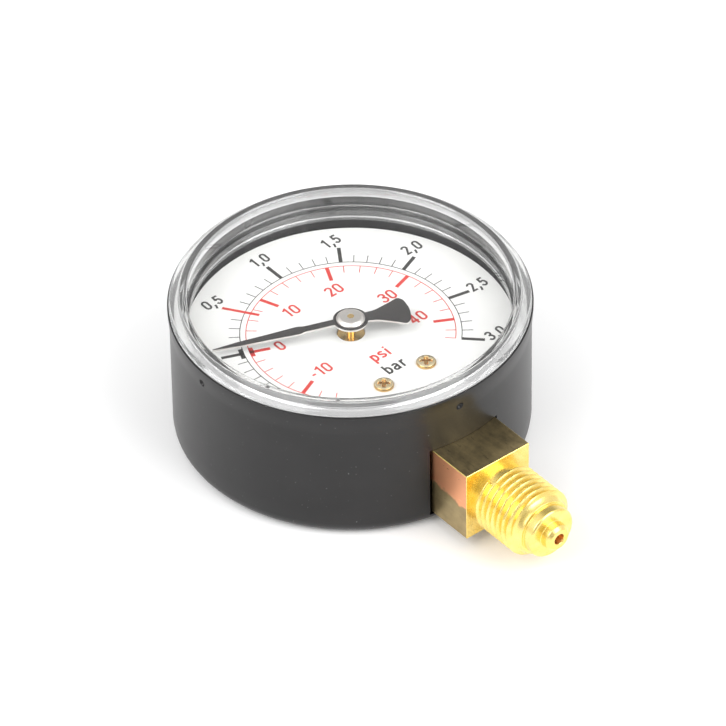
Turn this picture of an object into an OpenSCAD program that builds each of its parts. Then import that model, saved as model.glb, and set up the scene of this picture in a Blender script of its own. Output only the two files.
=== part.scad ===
// Bourdon tube pressure gauge, nominal size 63 mm, lower connection.
// The gauge lies on its back: +Z points out of the dial, -Y points along the
// connection, and the origin is the centre of the case's back face.

/* [Case] */
// Outside diameter of the case wall
case_d = 63.1; // [62.9:0.1:63.3]
// Height of the case rim above the back face
case_h = 26.9; // [26.5:0.1:27.5]
// Sheet thickness of the case
case_wall = 0.8; // [0.7:0.05:0.9]
// Outside radius of the bend between back and wall
case_corner_r = 2.8; // [2.2:0.1:3.2]
// How far the rim flares out beyond the wall
rim_flare = 0.3; // [0.2:0.02:0.4]

/* [Window] */
// Thickness of the clear pane
pane_t = 2.0; // [1.6:0.1:2.4]
// Height of the raised ring's top above the back face
window_top_z = 28.95; // [28.6:0.05:29.4]
// Outside radius of the ring's top edge
ring_r = 29.7; // [29.5:0.1:29.9]
// Outside radius of the flange that lies on the rim
flange_r = 31.6; // [31.4:0.05:31.6]

/* [Dial] */
// Height of the dial's face above the back face
dial_z = 18.6; // [18.4:0.1:18.8]
// Radius of the dial
dial_r = 29; // [28.5:0.1:29.3]
// Thickness of the dial
dial_t = 0.6; // [0.4:0.1:0.8]

/* [Connection] */
// Width across the flats of the square stem
stem_af = 14; // [13.8:0.1:14.2]
// Height of the stem's axis above the back face
stem_z = 9.5; // [9.4:0.1:9.7]
// Distance from the dial's axis to the end of the square
square_y = 39.9; // [38:0.1:42]
// Outside diameter of the thread
thread_d = 13.157; // [13:0.001:13.2]
// Thread pitch
thread_pitch = 1.337; // [1.3:0.001:1.4]
// Diameter of the pressure bore
bore_d = 2.0; // [1.8:0.1:2.4]

/* [Pointer] */
// Direction of the pointer at rest, anticlockwise from three o'clock
pointer_rest = 155.2; // [150:0.1:165]
// Length of the pointer from its axis to its tip
pointer_len = 24.8; // [23:0.1:26]
// Height of the pointer hub's top above the dial
hub_rise = 3.7; // [3.5:0.1:3.9]
// Downward slope of the blade towards its tip
blade_slope = 4; // [3:0.1:4.5]

/* [Movement] */
// Module of the sector and pinion teeth
gear_module = 0.2; // [0.2:0.01:0.2]
// Teeth on the pinion
pinion_teeth = 10; // [10:1:10]
// Teeth that a full circle of the sector would have
sector_teeth = 100; // [100:1:100]
// Direction from the pointer axis to the sector's pivot
sector_dir = -45; // [-47:1:-43]
// Length of the sector's tail, from pivot to link pin
tail_len = 6; // [5.8:0.1:6.2]
// Distance between the link's two pins
link_len = 7; // [6.8:0.1:7.2]

/* [Bourdon tube] */
// Mean radius of the tube's curve
tube_r = 23.5; // [23.3:0.1:23.7]
// Width of the flattened tube along the case's axis
tube_w = 8.2; // [7.8:0.1:8.4]
// Thickness of the flattened tube across its curve
tube_h = 2.6; // [2.4:0.1:2.8]
// Wall of the tube
tube_wall = 0.35; // [0.3:0.01:0.4]
// Direction of the tube's free end
tube_tip_dir = -10; // [-12:1:-8]

/* [Hidden] */
$fn = 96;
eps = 0.01;

// Case and window
case_r = case_d / 2;
case_inner_r = case_r - case_wall;
rim_r = case_r + rim_flare;
rim_h = 1.5;
rim_flare_h = 0.5;
nub_z = 24.15;
nub_first_dir = -2.8;
nub_count = 4;
nub_dent_r = 0.7;
nub_dent_out = 0.1;
nub_bump_r = 1.1;
skirt_clearance = 0.15;
skirt_r = case_inner_r - skirt_clearance;
skirt_inner_r = 28.2;
skirt_bottom_z = 21.05;
bead_top_z = nub_z - 1.1;
neck_r = 29;
ring_inner_r = 28.4;
pane_top_z = 25.3;
flange_bottom_z = case_h;
flange_edge_h = 0.35;

// Connection
stem_half = stem_af / 2;
block_y = -12.4;
tongue_y = -3.2;
tongue_t = 2.5;
stem_back_z = stem_z - stem_half;
stem_front_z = stem_z + stem_half;
tongue_z = stem_back_z + tongue_t;
hole_gap = 0.5;
thread_r = thread_d / 2;
thread_depth = 0.6403 * thread_pitch;
thread_root_r = thread_r - thread_depth;
thread_flat = 0.22;
neck_len = 1.7;
thread_count = 7;
thread_end_y = square_y + neck_len + thread_count * thread_pitch + thread_flat;
chamfer_len = 1.1;
pilot_r = 4.75;
pilot_len = 2;
spigot_r = 2.5;
spigot_len = 2;
spigot_chamfer = 0.6;
tip_y = thread_end_y + chamfer_len + pilot_len + spigot_len;

// Fasteners
dial_screw_x = 4.73;
dial_screw_y = -14.9;
dial_screw_r = 0.95;
dial_post_r = 2;
case_screw_x = 4;
case_screw_y = -17;
case_screw_r = 1.5;
case_screw_head_r = 2.6;
case_screw_head_h = 1.4;
case_screw_depth = 4;
dish_r = 3.2;
dish_depth = stem_back_z - case_wall;
movement_screw_x = 3.6;
movement_screw_y = -6.6;
movement_screw_r = 0.8;

// Movement plates, from the back to the front
plate_t = 1;
back_plate_z = tongue_z;
plate_gap = 8;
front_plate_z = back_plate_z + plate_t + plate_gap;
plate_x = [-8, 11.4];
plate_y = [-11.9, 6.4];
plate_corner_r = 2.2;
pillar_r = 1.25;
pillar_tenon_r = 0.75;
plate_screw_r = 0.6;
pillars = [[-5.9, -9.7], [-5.8, 4.2], [9.2, 4.2]];
pivot_r = 0.45;
pivot_clearance = 0.03;
pivot_len = 0.9;

// Gears
pinion_r = gear_module * pinion_teeth / 2;
sector_r = gear_module * sector_teeth / 2;
pressure_angle = 20;
backlash = 0.03;
pinion_addendum = gear_module;
sector_addendum = 0.6 * gear_module;
dedendum = 1.25 * gear_module;
gear_z = 9;
gear_t = 1;
sector_first_tooth = -8;
sector_last_tooth = 3;
sector_pivot = polar(pinion_r + sector_r, sector_dir);
sector_facing = sector_dir + 180;
tail_dir = -20;
link_dir = 70;
link_pin_at = sector_pivot + polar(tail_len, tail_dir);
tip_pin_at = link_pin_at + polar(link_len, link_dir);
arbor_r = 0.9;

// Shaft, hairspring and pointer
shaft_r = 0.72;
shaft_tip_r = 0.6;
shaft_taper_z = 20.2;
bushing_r = 2.4;
bushing_rise = 3.3;
spring_z = 11.6;
spring_h = 0.8;
spring_t = 0.12;
spring_inner_r = 1.62;
spring_outer_r = 4.5;
spring_turns = 5;
spring_start_dir = 60;
collet_r = 1.5;
collet_z = 11.4;
collet_h = 1.2;
stud_r = 0.7;
stud_slot = 0.3;
stud_at_r = spring_outer_r + 0.3;
blade_z = dial_z + 2.6;
blade_t = 0.35;
blade_disc_r = 3.25;
hub_r = 2.62;
hub_boss_r = 1.3;
hub_boss_z = 20.1;
hub_top_z = dial_z + hub_rise;

// Link and its pins
link_z = 10.2;
link_t = 0.7;
link_half = 0.9;
pin_r = 0.5;
pin_clearance = 0.04;
open_pin_clearance = 0.2;
pin_head_r = 0.95;
pin_head_z = 11.05;
pin_head_h = 0.4;

// Bourdon tube
tube_root_dir = -90 - asin(stem_half / tube_r);
tube_socket_depth = 2.8;
tube_root_depth_dir = -90 - asin((stem_half - tube_socket_depth) / tube_r);
end_piece_deg = 6;
end_plug_deg = 4;
end_plug_gap = 0.06;
arm_half = 1.1;
arm_root_deg = 3.4;

function polar(r, a) = [r * cos(a), r * sin(a)];
function involute(rb, t) = polar(rb * sqrt(1 + pow(t * PI / 180, 2)), t - atan(t * PI / 180));

module disc(r, z, h) {
    translate([0, 0, z]) cylinder(r = r, h = h);
}

module at(point, z = 0) {
    translate([point[0], point[1], z]) children();
}

// A straight bar between two points of the XY plane, with square ends
module bar_2d(a, b, half_width) {
    d = b - a;
    translate(a) rotate(atan2(d[1], d[0])) translate([0, -half_width]) square([norm(d), 2 * half_width]);
}

// A wedge of the XY plane that reaches from one direction to another
module wedge_2d(from, to, r) {
    steps = 6;
    polygon(concat([[0, 0]], [for (i = [0:steps]) polar(r, from + (to - from) * i / steps)]));
}

// The outline of a flattened tube: two half rounds joined by a rectangle
module flat_tube_2d(half_h, half_w) {
    square([2 * half_h, 2 * (half_w - half_h)], center = true);
    for (side = [-1, 1]) translate([0, side * (half_w - half_h)]) circle(r = half_h);
}

module flat_tube_arc(half_h, half_w, from, sweep) {
    at([0, 0], stem_z) rotate(from) rotate_extrude(angle = sweep)
        translate([tube_r, 0]) flat_tube_2d(half_h, half_w);
}

module cross_slot(r, z, h) {
    slot_w = 0.28 * r;
    for (a = [0, 90]) rotate(a) translate([-0.62 * r, -slot_w / 2, z]) cube([1.24 * r, slot_w, h]);
}

// A pan-head screw that stands on z = 0 with its shank below
module pan_screw(head_r, head_h, shank_r, shank_len) {
    difference() {
        union() {
            disc(head_r, 0, head_h * 0.55);
            translate([0, 0, head_h * 0.55]) cylinder(r1 = head_r, r2 = head_r * 0.78, h = head_h * 0.45);
            disc(shank_r, -shank_len, shank_len + eps);
        }
        cross_slot(head_r, head_h * 0.4, head_h);
    }
}

// Case: a drawn steel cup with a flared rim, four snap nubs, two dished
// screw seats in its back and a square hole for the stem
module case_profile_2d(grow) {
    r = case_r - grow;
    corner = case_corner_r - grow;
    centre = case_r - case_corner_r;
    translate([0, grow]) square([centre, case_h - grow]);
    translate([0, case_corner_r]) square([r, case_h - case_corner_r]);
    translate([centre, case_corner_r]) circle(r = corner);
}

module rim_2d(inside) {
    r = rim_r - inside;
    low = case_h - rim_h;
    top = case_h + (inside > 0 ? eps : 0);
    polygon([[0, low - rim_flare_h], [r - rim_flare, low - rim_flare_h], [r, low], [r, top], [0, top]]);
}

module case_shell() {
    color([0.27, 0.26, 0.27]) difference() {
        union() {
            rotate_extrude() {
                difference() {
                    union() {
                        case_profile_2d(0);
                        rim_2d(0);
                    }
                    case_profile_2d(case_wall);
                    rim_2d(case_wall);
                }
            }
            for (side = [-1, 1]) at([side * case_screw_x, case_screw_y]) disc(dish_r, 0, stem_back_z);
            for (i = [0:nub_count - 1]) rotate(nub_first_dir + i * 360 / nub_count) nub_bump();
        }
        for (side = [-1, 1]) at([side * case_screw_x, case_screw_y]) {
            disc(dish_r - case_wall / 2, -eps, dish_depth + eps);
            disc(case_screw_r, -eps, stem_back_z + 2 * eps);
        }
        for (i = [0:nub_count - 1]) rotate(nub_first_dir + i * 360 / nub_count)
            translate([case_r + nub_dent_out, 0, nub_z]) sphere(r = nub_dent_r);
        translate([-stem_half - hole_gap, -case_r - 1, stem_z - stem_half - hole_gap])
            cube([stem_af + 2 * hole_gap, 5, stem_af + 2 * hole_gap]);
    }
}

module nub_bump() {
    intersection() {
        translate([case_r - 0.3, 0, nub_z]) sphere(r = nub_bump_r);
        translate([case_inner_r - 1, -2, nub_z - 2]) cube([1.2, 4, 4]);
    }
}

// Window: one clear moulding with a pane, a raised ring, a flange on the rim
// and a skirt whose bead snaps in below the nubs
module window() {
    color([0.85, 0.9, 0.92, 0.4]) rotate_extrude() polygon([
        [0, pane_top_z - pane_t],
        [skirt_inner_r, pane_top_z - pane_t],
        [skirt_inner_r, skirt_bottom_z],
        [skirt_r - 0.3, skirt_bottom_z],
        [skirt_r, skirt_bottom_z + 0.5],
        [skirt_r, bead_top_z],
        [neck_r, bead_top_z + 0.4],
        [neck_r, flange_bottom_z],
        [flange_r, flange_bottom_z],
        [flange_r, flange_bottom_z + flange_edge_h],
        [flange_r - 0.35, flange_bottom_z + 0.75],
        [ring_r + 0.25, window_top_z - 0.3],
        [ring_r, window_top_z],
        [ring_inner_r + 0.3, window_top_z],
        [ring_inner_r, window_top_z - 0.4],
        [ring_inner_r, pane_top_z],
        [0, pane_top_z]
    ]);
}

// Dial: a round plate with a centre hole and two screw holes
module dial() {
    centre_hole_r = 2.5;
    screw_hole_r = dial_screw_r + 0.15;
    low = dial_z - dial_t;
    color([0.97, 0.97, 0.95]) difference() {
        disc(dial_r, low, dial_t);
        disc(centre_hole_r, low - 1, dial_t + 2);
        for (side = [-1, 1]) at([side * dial_screw_x, dial_screw_y]) disc(screw_hole_r, low - 1, dial_t + 2);
    }
}

module dial_screws() {
    head_r = 1.75;
    head_h = 0.85;
    shank_len = 5;
    color([0.85, 0.62, 0.25]) for (side = [-1, 1])
        at([side * dial_screw_x, dial_screw_y], dial_z) rotate(side * 20)
            pan_screw(head_r, head_h, dial_screw_r, shank_len);
}

// Stem: a square brass bar with the thread at its outer end, and inside the
// case the block that carries tube, movement and dial
module thread_profile_2d() {
    slope = (thread_pitch - 2 * thread_flat) / 2;
    first = square_y + neck_len;
    ridges = [for (i = [0:thread_count - 1])
        let (y = first + i * thread_pitch)
        each [
            [thread_root_r, y],
            [thread_r, y + slope],
            [thread_r, y + slope + thread_flat],
            [thread_root_r, y + 2 * slope + thread_flat]
        ]];
    polygon(concat(
        [[0, square_y - 1], [thread_root_r, square_y - 1]],
        ridges,
        [
            [thread_root_r, thread_end_y],
            [pilot_r + 0.5, thread_end_y + chamfer_len],
            [pilot_r, thread_end_y + chamfer_len],
            [pilot_r, thread_end_y + chamfer_len + pilot_len - 0.3],
            [pilot_r - 0.3, thread_end_y + chamfer_len + pilot_len],
            [spigot_r, thread_end_y + chamfer_len + pilot_len],
            [spigot_r, tip_y - spigot_chamfer],
            [spigot_r - spigot_chamfer, tip_y],
            [0, tip_y]
        ]
    ));
}

module along_stem() {
    at([0, 0], stem_z) rotate([90, 0, 0]) children();
}

module stem() {
    dial_seat_z = dial_z - dial_t;
    thread_hole_z = dial_z - 6;
    bore_end_y = tube_r - 1;
    color([0.72, 0.58, 0.25]) difference() {
        union() {
            translate([-stem_half, -square_y, stem_back_z]) cube([stem_af, square_y + block_y, stem_af]);
            translate([-stem_half, block_y - 1, stem_back_z])
                cube([stem_af, tongue_y - block_y + 1, tongue_t]);
            for (side = [-1, 1]) at([side * dial_screw_x, dial_screw_y])
                disc(dial_post_r, stem_front_z - 1, dial_seat_z - stem_front_z + 1);
            along_stem() rotate_extrude() thread_profile_2d();
        }
        along_stem() translate([0, 0, bore_end_y]) cylinder(d = bore_d, h = tip_y - bore_end_y + 1);
        flat_tube_arc(tube_h / 2, tube_w / 2, tube_root_depth_dir, tube_root_dir - tube_root_depth_dir - 10);
        at([0, 0], stem_z) rotate(-90) rotate_extrude(angle = tube_root_depth_dir + 90 - eps)
            translate([tube_r, 0]) circle(d = bore_d);
        for (side = [-1, 1]) {
            at([side * dial_screw_x, dial_screw_y]) disc(dial_screw_r, thread_hole_z, 10);
            at([side * case_screw_x, case_screw_y])
                disc(case_screw_r, stem_back_z - 1, case_screw_depth + 1);
            at([side * movement_screw_x, movement_screw_y])
                disc(movement_screw_r, stem_back_z - 1, tongue_t + 2);
        }
    }
}

module case_screws() {
    color([0.7, 0.7, 0.72]) for (side = [-1, 1])
        at([side * case_screw_x, case_screw_y], dish_depth) rotate([180, 0, 0])
            pan_screw(case_screw_head_r, case_screw_head_h, case_screw_r, case_wall + case_screw_depth);
}

// Bourdon tube: a flattened tube bent round most of a circle, from the stem
// to its free end
module bourdon_tube() {
    sweep = 360 - (tube_tip_dir - tube_root_depth_dir);
    color([0.78, 0.55, 0.28]) difference() {
        flat_tube_arc(tube_h / 2, tube_w / 2, tube_tip_dir, sweep);
        flat_tube_arc(tube_h / 2 - tube_wall, tube_w / 2 - tube_wall, tube_tip_dir - 1, sweep + 2);
    }
}

// Tube end: closes the free end and reaches in to the link
module tube_end() {
    plug_h = tube_h / 2 - tube_wall - end_plug_gap;
    plug_w = tube_w / 2 - tube_wall - end_plug_gap;
    inner_r = tube_r - tube_h / 2;
    arm_dir = tube_tip_dir - arm_root_deg;
    color([0.8, 0.62, 0.3]) difference() {
        union() {
            flat_tube_arc(tube_h / 2 + 0.2, tube_w / 2 + 0.2, tube_tip_dir - end_plug_gap, -end_piece_deg);
            flat_tube_arc(plug_h, plug_w, tube_tip_dir + end_plug_deg, -end_plug_deg - 1);
            at([0, 0], gear_z) linear_extrude(gear_t) {
                bar_2d(tip_pin_at, polar(inner_r + 0.5, arm_dir), arm_half);
                translate(tip_pin_at) circle(r = arm_half + 0.2);
            }
        }
        at(tip_pin_at) disc(pin_r, gear_z - 1, gear_t + 2);
    }
}

module shouldered_pin(point) {
    at(point) {
        disc(pin_r, gear_z, pin_head_z - gear_z + eps);
        disc(pin_head_r, pin_head_z, pin_head_h);
    }
}

module tube_end_pin() {
    color([0.8, 0.8, 0.82]) shouldered_pin(tip_pin_at);
}

module link_pin() {
    color([0.8, 0.8, 0.82]) shouldered_pin(link_pin_at);
}

// Link: a flat bar between the sector's tail and the tube's end
module link() {
    eye_r = 1.25;
    color([0.75, 0.75, 0.77]) at([0, 0], link_z) linear_extrude(link_t) difference() {
        union() {
            bar_2d(link_pin_at, tip_pin_at, link_half);
            translate(link_pin_at) circle(r = eye_r);
            translate(tip_pin_at) circle(r = eye_r);
        }
        translate(link_pin_at) circle(r = pin_r + pin_clearance);
        translate(tip_pin_at) circle(r = pin_r + open_pin_clearance);
    }
}

// Movement plates: two brass plates held apart by pillars
module plate_2d() {
    low = [plate_x[0], plate_y[0]];
    high = [plate_x[1], plate_y[1]];
    r = plate_corner_r;
    translate(low + [r, 0]) square([high[0] - low[0] - 2 * r, high[1] - low[1]]);
    translate(low + [0, r]) square([high[0] - low[0], high[1] - low[1] - 2 * r]);
    for (x = [low[0] + r, high[0] - r], y = [low[1] + r, high[1] - r]) translate([x, y]) circle(r = r);
}

module movement_back_plate() {
    color([0.85, 0.66, 0.3]) at([0, 0], back_plate_z) linear_extrude(plate_t) difference() {
        plate_2d();
        circle(r = pivot_r + pivot_clearance);
        translate(sector_pivot) circle(r = pivot_r + pivot_clearance);
        for (p = pillars) translate(p) circle(r = pillar_tenon_r);
        for (side = [-1, 1]) translate([side * movement_screw_x, movement_screw_y])
            circle(r = movement_screw_r);
    }
}

module movement_front_plate() {
    color([0.85, 0.66, 0.3]) at([0, 0], front_plate_z) linear_extrude(plate_t) difference() {
        plate_2d();
        circle(r = bushing_r);
        translate(sector_pivot) circle(r = pivot_r + pivot_clearance);
        for (p = pillars) translate(p) circle(r = plate_screw_r);
        translate(polar(stud_at_r, spring_start_dir)) circle(r = stud_r);
    }
}

module movement_pillars() {
    screw_depth = 3;
    top = back_plate_z + plate_t + plate_gap;
    color([0.85, 0.66, 0.3]) for (p = pillars) at(p) difference() {
        union() {
            disc(pillar_tenon_r, back_plate_z, plate_t + eps);
            disc(pillar_r, back_plate_z + plate_t, plate_gap);
        }
        disc(plate_screw_r, top - screw_depth, screw_depth + 1);
    }
}

module plate_screws() {
    head_r = 1.2;
    head_h = 0.8;
    color([0.75, 0.75, 0.77]) for (p = pillars)
        at(p, front_plate_z + plate_t) pan_screw(head_r, head_h, plate_screw_r, plate_t + 2.6);
}

module movement_screws() {
    head_r = 1.5;
    head_h = 0.9;
    color([0.75, 0.75, 0.77]) for (side = [-1, 1])
        at([side * movement_screw_x, movement_screw_y], back_plate_z + plate_t)
            pan_screw(head_r, head_h, movement_screw_r, plate_t + tongue_t - 0.2);
}

// One gear tooth that points along +X: involute flanks above the base circle
// and straight ones below it
module tooth_2d(r, addendum, inner_r) {
    rb = r * cos(pressure_angle);
    inv = tan(pressure_angle) - pressure_angle * PI / 180;
    half = (gear_module * PI / 2 - backlash) / (2 * r) * 180 / PI + inv * 180 / PI;
    tip_roll = sqrt(pow((r + addendum) / rb, 2) - 1) * 180 / PI;
    root_roll = sqrt(max(0, pow((r - dedendum) / rb, 2) - 1)) * 180 / PI;
    steps = 4;
    flank = [for (i = [0:steps]) involute(rb, root_roll + (tip_roll - root_roll) * i / steps)];
    turn = function (p, s) [cos(half) * p[0] + sin(half) * p[1], s * (cos(half) * p[1] - sin(half) * p[0])];
    right = [for (p = flank) turn(p, 1)];
    left = [for (i = [steps:-1:0]) turn(flank[i], -1)];
    foot = turn([inner_r, 0], 1);
    polygon(concat([foot], right, left, [[foot[0], -foot[1]]]));
}

// Sector gear: a toothed fan with a tail for the link
module sector_gear() {
    pitch_deg = 360 / sector_teeth;
    root_r = sector_r - dedendum;
    from = pitch_deg * (sector_first_tooth + 0.1);
    to = pitch_deg * (sector_last_tooth + 0.9);
    rim_t = 1.6;
    hub = 1.9;
    spoke = 5;
    color([0.85, 0.66, 0.3]) at(sector_pivot, gear_z) linear_extrude(gear_t) difference() {
        union() {
            rotate(sector_facing) {
                intersection() {
                    circle(r = root_r);
                    wedge_2d(from, to, 2 * root_r);
                }
                for (i = [sector_first_tooth:sector_last_tooth]) rotate((i + 0.5) * pitch_deg)
                    tooth_2d(sector_r, sector_addendum, root_r - 0.3);
            }
            circle(r = hub);
            bar_2d([0, 0], polar(tail_len, tail_dir), 1);
            translate(polar(tail_len, tail_dir)) circle(r = 1.2);
        }
        rotate(sector_facing) intersection() {
            difference() {
                circle(r = root_r - rim_t);
                circle(r = hub + 1.2);
            }
            wedge_2d(from + spoke, to - spoke, 2 * root_r);
        }
        circle(r = arbor_r);
        translate(polar(tail_len, tail_dir)) circle(r = pin_r);
    }
}

// A staff between the plates, with a thin pivot at each end
module sector_arbor() {
    low = back_plate_z + plate_t + 0.05;
    high = front_plate_z - 0.05;
    color([0.78, 0.78, 0.8]) at(sector_pivot) {
        disc(pivot_r, low - pivot_len, pivot_len + eps);
        disc(arbor_r, low, high - low);
        disc(pivot_r, high - eps, pivot_len + eps);
    }
}

// Pinion shaft: pinion and pointer shaft in one piece
module pinion_shaft() {
    low = back_plate_z + plate_t + 0.05;
    pinion_low = gear_z - 0.5;
    pinion_len = gear_t + 1;
    root_r = pinion_r - dedendum;
    color([0.85, 0.66, 0.3]) {
        disc(pivot_r, low - pivot_len, pivot_len + eps);
        disc(shaft_r, low, shaft_taper_z - low);
        at([0, 0], shaft_taper_z - eps)
            cylinder(r1 = shaft_r, r2 = shaft_tip_r, h = hub_top_z - shaft_taper_z);
        at([0, 0], pinion_low) rotate(sector_dir) linear_extrude(pinion_len) {
            circle(r = root_r);
            for (i = [0:pinion_teeth - 1]) rotate(i * 360 / pinion_teeth)
                tooth_2d(pinion_r, pinion_addendum, root_r - 0.2);
        }
    }
}

// Pinion bushing: its collar reaches up into the dial's centre hole
module pinion_bushing() {
    color([0.85, 0.66, 0.3]) difference() {
        disc(bushing_r, front_plate_z, plate_t + bushing_rise);
        disc(shaft_r + pivot_clearance, front_plate_z - 1, plate_t + bushing_rise + 2);
    }
}

// Hairspring: a flat spiral strip between the shaft's collet and the stud
module hairspring() {
    per_turn = 24;
    n = spring_turns * per_turn;
    edge = function (side) [for (i = [0:n])
        polar(spring_inner_r + (spring_outer_r - spring_inner_r) * i / n + side * spring_t / 2,
            spring_start_dir + i * 360 / per_turn)];
    outer = edge(1);
    inner = edge(-1);
    color([0.6, 0.6, 0.65]) at([0, 0], spring_z) linear_extrude(spring_h)
        polygon(concat(outer, [for (i = [n:-1:0]) inner[i]]));
}

module hairspring_collet() {
    slit = 0.3;
    color([0.85, 0.66, 0.3]) difference() {
        disc(collet_r, collet_z, collet_h);
        disc(shaft_r, collet_z - 1, collet_h + 2);
        translate([0, -slit / 2, collet_z - 1]) cube([2 * collet_r, slit, collet_h + 2]);
    }
}

module hairspring_stud() {
    low = spring_z - 0.3;
    slot_h = spring_h + 0.3;
    color([0.85, 0.66, 0.3]) rotate(spring_start_dir) difference() {
        translate([stud_at_r, 0, low]) cylinder(r = stud_r, h = front_plate_z + plate_t - low);
        translate([spring_outer_r - stud_slot / 2, -stud_r - 1, low - 1])
            cube([stud_slot, 2 * stud_r + 2, slot_h + 1]);
    }
}

// Pointer blade: a flat disc with a fan-shaped counterweight, and a lance
// that slopes down towards the dial
module pointer_blade() {
    lance_start = 2.4;
    lance = [[0, 0.78], [6.3, 0.6], [7, 1.02], [12, 0.75], [18, 0.6], [22.1, 0.16]];
    tip = pointer_len - lance_start;
    tail_r = 10.5;
    tail_half = 21.5;
    tail_steps = 12;
    tail_end = [for (i = [0:tail_steps]) polar(-tail_r, tail_half * (2 * i / tail_steps - 1))];
    tail_outline = concat([[-2.2, 0.9], [-5.8, 2.1]], tail_end, [[-5.8, -2.1], [-2.2, -0.9]]);
    other_side = [for (i = [len(lance) - 1:-1:0]) [lance[i][0], -lance[i][1]]];
    color([0.24, 0.23, 0.23]) rotate(pointer_rest) difference() {
        union() {
            disc(blade_disc_r, blade_z, blade_t);
            at([0, 0], blade_z) linear_extrude(blade_t) polygon(tail_outline);
            translate([lance_start, 0, blade_z]) rotate([0, blade_slope, 0]) linear_extrude(blade_t)
                polygon(concat(lance, [[tip, 0.06], [tip, -0.06]], other_side));
        }
        disc(hub_boss_r, blade_z - 1, 3);
    }
}

// Pointer hub: a turned cap above the blade and a boss riveted through it
module pointer_hub() {
    cap_z = blade_z + blade_t;
    cap_h = hub_top_z - cap_z;
    color([0.8, 0.8, 0.8]) difference() {
        union() {
            disc(hub_boss_r, hub_boss_z, cap_z - hub_boss_z + eps);
            disc(hub_r, cap_z, cap_h * 0.4);
            at([0, 0], cap_z + cap_h * 0.4 - eps)
                cylinder(r1 = hub_r, r2 = hub_r - 0.4, h = cap_h * 0.6 + eps);
        }
        disc(shaft_r, hub_boss_z - 1, shaft_taper_z - hub_boss_z + 1);
        at([0, 0], shaft_taper_z - eps)
            cylinder(r1 = shaft_r, r2 = shaft_tip_r, h = hub_top_z - shaft_taper_z + 2 * eps);
    }
}

case_shell();  // case
window();
dial();
dial_screws();
stem();
case_screws();
bourdon_tube();
tube_end();
tube_end_pin();
link();
link_pin();
movement_back_plate();
movement_front_plate();
movement_pillars();
plate_screws();
movement_screws();
sector_gear();
sector_arbor();
pinion_shaft();
pinion_bushing();
hairspring();
hairspring_collet();
hairspring_stud();
pointer_blade();
pointer_hub();
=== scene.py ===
"""Looks of the pressure gauge: visible pieces, materials, lights and camera.

Lengths are written in millimetres and turned into metres by MM. The frame is
the CAD frame: +Z out of the dial, -Y along the connection, origin at the
centre of the case's back.
"""
import math

import bmesh
import bpy
from mathutils import Matrix, Vector


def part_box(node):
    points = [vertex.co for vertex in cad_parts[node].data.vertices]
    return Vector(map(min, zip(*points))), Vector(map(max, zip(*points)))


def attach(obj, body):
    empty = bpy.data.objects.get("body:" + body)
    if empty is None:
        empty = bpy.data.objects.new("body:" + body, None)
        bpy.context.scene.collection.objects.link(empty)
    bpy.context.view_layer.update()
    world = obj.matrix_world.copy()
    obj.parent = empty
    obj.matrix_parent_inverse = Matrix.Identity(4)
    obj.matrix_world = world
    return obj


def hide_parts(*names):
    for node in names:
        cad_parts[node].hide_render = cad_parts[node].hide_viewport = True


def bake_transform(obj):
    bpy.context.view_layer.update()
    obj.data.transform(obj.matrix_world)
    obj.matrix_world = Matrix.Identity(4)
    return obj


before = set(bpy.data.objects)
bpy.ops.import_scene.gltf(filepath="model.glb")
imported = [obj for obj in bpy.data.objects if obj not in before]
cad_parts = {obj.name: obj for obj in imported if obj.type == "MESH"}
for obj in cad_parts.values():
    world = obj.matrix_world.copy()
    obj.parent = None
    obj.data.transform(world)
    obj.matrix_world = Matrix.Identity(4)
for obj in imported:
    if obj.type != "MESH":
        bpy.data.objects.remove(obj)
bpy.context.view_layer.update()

MM = 0.001

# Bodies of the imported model
HOUSING = "housing"
POINTER = "pointer_group"

X, Y, Z = 0, 1, 2


def node_span(node, axis):
    """Lowest and highest value of a CAD node along one axis, in millimetres."""
    low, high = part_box(node)
    return low[axis] / MM, high[axis] / MM


CASE_R = 31.55
RIM_R = node_span("case", Y)[1]
RIM_Z = node_span("case", Z)[1]
WINDOW_TOP = node_span("window", Z)[1]
WINDOW_LOW = node_span("window", Z)[0]
FLANGE_R = RIM_R - 0.25
DIAL_Z = node_span("dial", Z)[1]
STEM_HALF = node_span("stem", X)[1]
STEM_TIP = -node_span("stem", Y)[0]
STEM_LOW = node_span("stem", Z)[0]
STEM_Z = STEM_LOW + STEM_HALF
HUB_TOP = node_span("pointer_hub", Z)[1]
HUB_LOW = node_span("pointer_hub", Z)[0]
HUB_R = node_span("pointer_hub", X)[1]


# ---------------------------------------------------------------- helpers

def polar(radius, degrees):
    angle = math.radians(degrees)
    return radius * math.cos(angle), radius * math.sin(angle)


def smoothstep(t):
    t = min(1.0, max(0.0, t))
    return t * t * (3 - 2 * t)


def arc(centre, radii, start, end, steps):
    """Points of an elliptical arc from one angle to another, in degrees."""
    points = []
    for i in range(steps + 1):
        angle = math.radians(start + (end - start) * i / steps)
        points.append((centre[0] + radii[0] * math.cos(angle), centre[1] + radii[1] * math.sin(angle)))
    return points


def rounded(points, radius, steps=5, closed=False):
    """A polyline with its corners replaced by curves of about the given radius.

    Each curve gets one more point on either side, so that the flats beside it
    keep their own shading."""
    count = len(points)
    result = []
    for i, point in enumerate(points):
        if not closed and i in (0, count - 1):
            result.append(tuple(point))
            continue
        here = Vector(point)
        before = Vector(points[i - 1]) - here
        after = Vector(points[(i + 1) % count]) - here
        reach = min(radius, 0.4 * before.length, 0.4 * after.length)
        start = here + before.normalized() * reach
        end = here + after.normalized() * reach
        result.append(tuple(here + before.normalized() * reach * 1.15))
        for step in range(steps + 1):
            t = step / steps
            result.append(tuple(start * (1 - t) ** 2 + here * 2 * t * (1 - t) + end * t ** 2))
        result.append(tuple(here + after.normalized() * reach * 1.15))
    return result


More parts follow.
